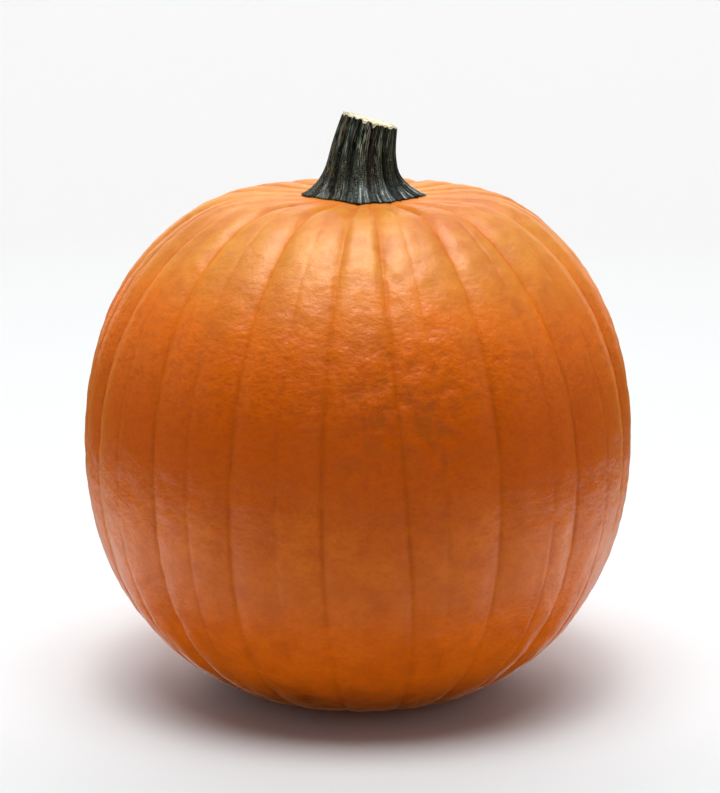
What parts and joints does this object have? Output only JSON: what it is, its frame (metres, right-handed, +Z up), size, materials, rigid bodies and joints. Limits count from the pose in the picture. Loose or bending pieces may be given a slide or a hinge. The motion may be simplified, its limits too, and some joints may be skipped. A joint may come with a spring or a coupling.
{
  "type": "pumpkin",
  "caption": "Round orange pumpkin with shallow ribs and furrows and a short ridged dark stem, cut off slanting; stands level on its flattened blossom end.",
  "frame": {"origin": "middle of the bounding box, on the surface that the pumpkin stands on", "axes": "+Z up through the stem; -Y towards the side that the picture shows; +X to that side's right, where the stem leans"},
  "size_m": [0.28, 0.2802, 0.2956],
  "materials": {
    "rind": "waxy orange plant rind, satin",
    "stem_bark": "dry dark green-grey stalk, matt and fibrous"
  },
  "bodies": {
    "root": {"fruit": "rind", "stem": "stem_bark"}
  },
  "joints": []
}
